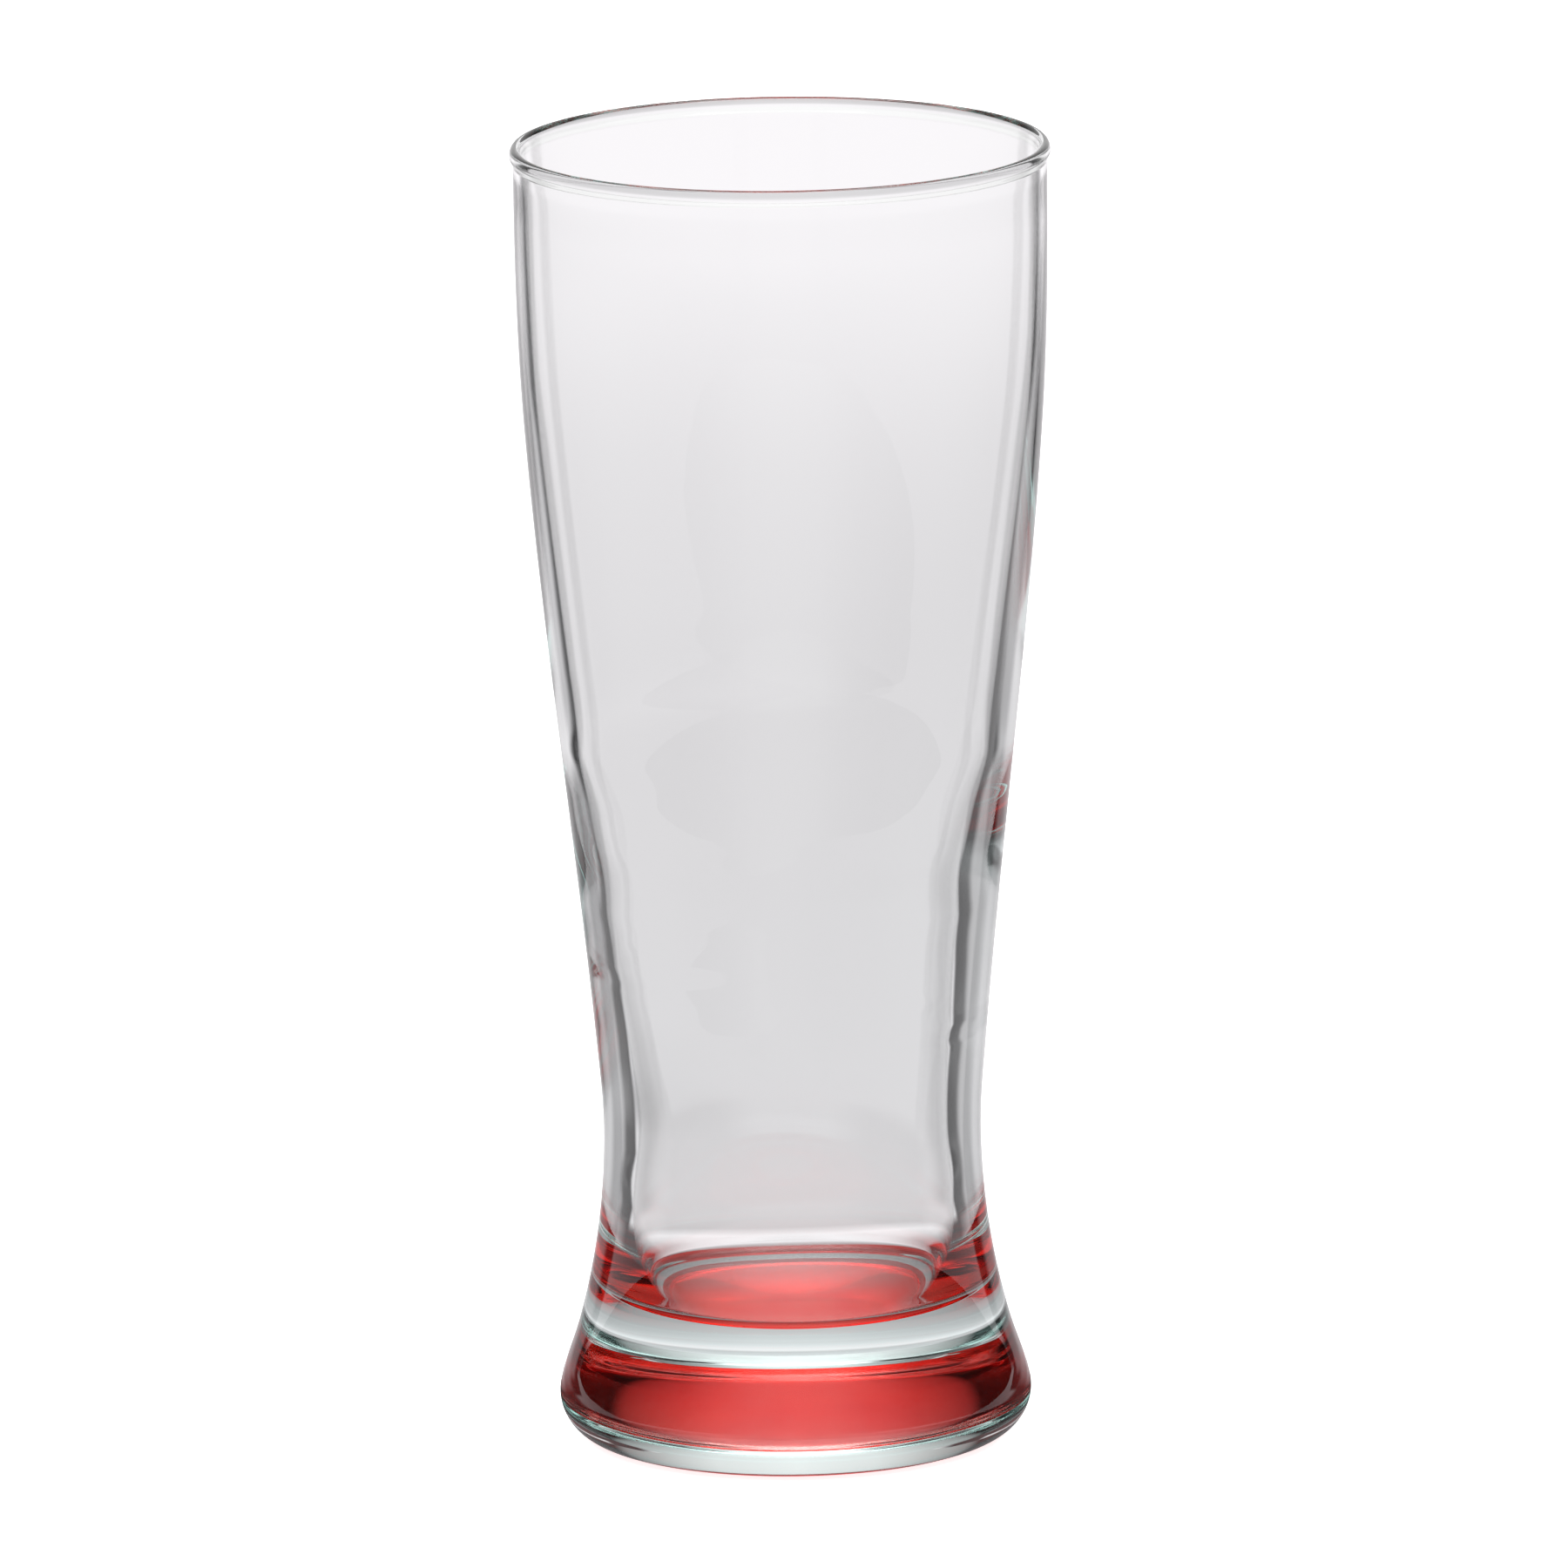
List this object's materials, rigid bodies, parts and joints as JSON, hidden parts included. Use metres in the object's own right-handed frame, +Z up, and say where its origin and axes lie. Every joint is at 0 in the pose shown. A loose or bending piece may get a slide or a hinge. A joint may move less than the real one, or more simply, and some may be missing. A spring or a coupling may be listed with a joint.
{
  "type": "pilsner glass",
  "caption": "Tall clear drinking glass with a thick round foot, a narrow waist, a straight flared bowl and a rolled rim, coated red under the foot.",
  "frame": {"origin": "middle of the resting plane, on the axis of the glass", "axes": "+Z up along the axis from the foot to the rim; the glass is round, so X and Y are any two level directions at right angles"},
  "size_m": [0.077, 0.077, 0.188],
  "materials": {
    "clear_glass": "fire-polished, smooth and clear, with a slight green cast",
    "red_coat": "thin translucent lacquer, slightly streaked"
  },
  "bodies": {
    "root": {"glass_body": "clear_glass", "red_base_coat": "red_coat"}
  },
  "joints": []
}
